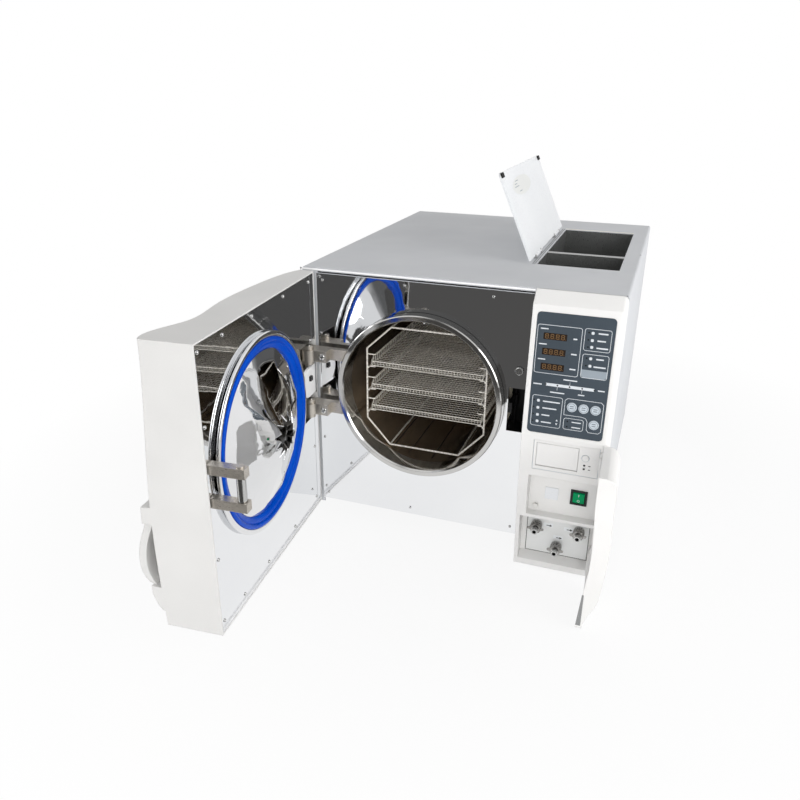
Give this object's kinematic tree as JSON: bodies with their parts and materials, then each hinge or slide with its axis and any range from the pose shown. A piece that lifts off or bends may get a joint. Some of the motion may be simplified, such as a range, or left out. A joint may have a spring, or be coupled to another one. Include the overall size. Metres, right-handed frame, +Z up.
{
  "type": "steam sterilizer",
  "caption": "Benchtop steam sterilizer with a swung-open pressure door, round tray chamber, control column with service bay and a top water tank",
  "frame": {"origin": "centre of the cabinet footprint at bench level, where the feet stand", "axes": "+X to the right of the cabinet seen from its front, +Y towards its back, +Z up"},
  "size_m": [0.5754, 0.9543, 0.5906],
  "materials": {
    "painted_white": "satin powder coat",
    "hood_plastic": "fine moulded",
    "grey_plastic": "fine moulded",
    "mirror_steel": "mirror polished",
    "bright_steel": "polished",
    "arm_steel": "as rolled, brushed",
    "inner_steel": "heat tinted",
    "wire_steel": "electropolished",
    "blue_silicone": "satin",
    "black_rubber": "matt",
    "black_plastic": "fine moulded",
    "green_plastic": "gloss, lit from inside",
    "membrane_slate": "fine matt film",
    "key_grey": "matt film",
    "circuit_green": "lacquered board",
    "galvanised": "plain sheet",
    "insulation": "glass fibre felt",
    "brass_metal": "machined",
    "paper_white": "plain"
  },
  "bodies": {
    "frame": {"base_pan": "galvanised", "blanking_plate": "hood_plastic", "cabinet_cover": "painted_white", "chamber_flange": "bright_steel", "chamber_vessel": "inner_steel", "column_fascia": "hood_plastic", "condenser": "galvanised", "control_board": "circuit_green", "control_membrane": "membrane_slate", "fan_frame": "black_plastic", "feet": "black_rubber", "front_panel": "mirror_steel", "hinge_arms": "arm_steel", "hinge_pins": "bright_steel", "hose_nozzles": "bright_steel", "insulation_jacket": "insulation", "lid_hinge_brackets": "bright_steel", "lock_housing": "black_plastic", "power_inlet": "black_plastic", "printer_body": "hood_plastic", "rear_panel": "galvanised", "safety_valve": "brass_metal", "steam_generator": "bright_steel", "steam_inlet_fitting": "bright_steel", "switch_bezel": "black_plastic", "vacuum_pump": "black_plastic", "valve_plate": "galvanised", "vessel_saddles": "galvanised", "water_tank": "inner_steel"},
    "rack": {"rack_frame": "wire_steel"},
    "door": {"door_beam": "arm_steel", "pressure_disc": "mirror_steel", "door_seal": "blue_silicone", "disc_stud": "bright_steel", "door_casing": "hood_plastic", "door_liner": "mirror_steel", "hinge_cover_plate": "painted_white", "door_handle": "hood_plastic"},
    "roller": {"fork_roller": "bright_steel"},
    "hook": {"lock_hook": "arm_steel"},
    "plunger": {"door_plunger": "bright_steel"},
    "printer_lid": {"printer_door": "hood_plastic"},
    "feed_button": {"printer_button": "hood_plastic"},
    "paper": {"paper_roll": "paper_white"},
    "rocker": {"power_rocker": "green_plastic"},
    "flap": {"service_flap": "hood_plastic"},
    "catch": {"flap_catch": "grey_plastic"},
    "tank_cover": {"tank_lid": "hood_plastic", "lid_pads": "black_rubber"},
    "fan": {"fan_rotor": "black_plastic"},
    "tray_lower": {"tray_lower": "wire_steel"},
    "tray_middle": {"tray_middle": "wire_steel"},
    "tray_upper": {"tray_upper": "wire_steel"},
    "key_1": {"key_1": "key_grey"},
    "key_2": {"key_2": "key_grey"},
    "key_3": {"key_3": "key_grey"},
    "key_4": {"key_4": "key_grey"},
    "collar_1": {"coupling_collar_1": "bright_steel"},
    "collar_2": {"coupling_collar_2": "bright_steel"},
    "collar_3": {"coupling_collar_3": "bright_steel"}
  },
  "joints": [
    {"name": "door_hinge", "type": "hinge", "parent": "frame", "child": "door", "pos_m": [-0.2215, -0.3196, 0.28], "axis": [0, 0, -1], "range_deg": [-85.66, 8]},
    {"name": "roller_spin", "type": "hinge", "parent": "door", "child": "roller", "pos_m": [-0.15481, -0.64198, 0.27], "axis": [0, 0, 1], "continuous": true},
    {"name": "hook_turn", "type": "hinge", "parent": "frame", "child": "hook", "pos_m": [0.095, -0.25, 0.27], "axis": [0, 0, 1], "range_deg": [0, 11]},
    {"name": "plunger_press", "type": "slide", "parent": "frame", "child": "plunger", "axis": [0, 1, 0], "range_m": [0, 0.005], "stiffness_N_per_m": 300},
    {"name": "rack_pull", "type": "slide", "parent": "frame", "child": "rack", "axis": [0, -1, 0], "range_m": [0, 0.3]},
    {"name": "tray_lower_pull", "type": "slide", "parent": "rack", "child": "tray_lower", "axis": [0, -1, 0], "range_m": [0, 0.26]},
    {"name": "tray_middle_pull", "type": "slide", "parent": "rack", "child": "tray_middle", "axis": [0, -1, 0], "range_m": [0, 0.26]},
    {"name": "tray_upper_pull", "type": "slide", "parent": "rack", "child": "tray_upper", "axis": [0, -1, 0], "range_m": [0, 0.26]},
    {"name": "key_1_press", "type": "slide", "parent": "frame", "child": "key_1", "axis": [0, 0.9981, -0.0617], "range_m": [0, 0.0008], "stiffness_N_per_m": 500},
    {"name": "key_2_press", "type": "slide", "parent": "frame", "child": "key_2", "axis": [0, 0.9981, -0.0617], "range_m": [0, 0.0008], "stiffness_N_per_m": 500},
    {"name": "key_3_press", "type": "slide", "parent": "frame", "child": "key_3", "axis": [0, 0.9981, -0.0617], "range_m": [0, 0.0008], "stiffness_N_per_m": 500},
    {"name": "key_4_press", "type": "slide", "parent": "frame", "child": "key_4", "axis": [0, 0.9981, -0.0617], "range_m": [0, 0.0008], "stiffness_N_per_m": 500},
    {"name": "printer_door_hinge", "type": "hinge", "parent": "frame", "child": "printer_lid", "pos_m": [0.173, -0.3098, 0.1966], "axis": [1, 0, 0], "range_deg": [0, 80]},
    {"name": "feed_button_press", "type": "slide", "parent": "frame", "child": "feed_button", "axis": [0, 1, 0], "range_m": [0, 0.001], "stiffness_N_per_m": 400},
    {"name": "paper_spin", "type": "hinge", "parent": "frame", "child": "paper", "pos_m": [0.173, -0.282, 0.214], "axis": [1, 0, 0], "continuous": true},
    {"name": "rocker_tilt", "type": "hinge", "parent": "frame", "child": "rocker", "pos_m": [0.2095, -0.2885, 0.1395], "axis": [1, 0, 0], "range_deg": [0, 16]},
    {"name": "flap_hinge", "type": "hinge", "parent": "frame", "child": "flap", "pos_m": [0.2365, -0.3175, 0.125], "axis": [0, 0, 1], "range_deg": [-92, 0]},
    {"name": "catch_press", "type": "slide", "parent": "frame", "child": "catch", "axis": [0, 1, 0], "range_m": [0, 0.002], "stiffness_N_per_m": 300},
    {"name": "collar_1_turn", "type": "hinge", "parent": "frame", "child": "collar_1", "pos_m": [0.149, -0.288, 0.073], "axis": [0, -1, 0], "range_deg": [0, 60]},
    {"name": "collar_2_turn", "type": "hinge", "parent": "frame", "child": "collar_2", "pos_m": [0.215, -0.288, 0.074], "axis": [0, -1, 0], "range_deg": [0, 60]},
    {"name": "collar_3_turn", "type": "hinge", "parent": "frame", "child": "collar_3", "pos_m": [0.1825, -0.288, 0.04], "axis": [0, -1, 0], "range_deg": [0, 60]},
    {"name": "tank_lid_hinge", "type": "hinge", "parent": "frame", "child": "tank_cover", "pos_m": [0.0825, 0.03, 0.4585], "axis": [0, 1, 0], "range_deg": [0, 114]},
    {"name": "fan_spin", "type": "hinge", "parent": "frame", "child": "fan", "pos_m": [-0.01, 0.274, 0.14], "axis": [0, 1, 0], "continuous": true}
  ]
}
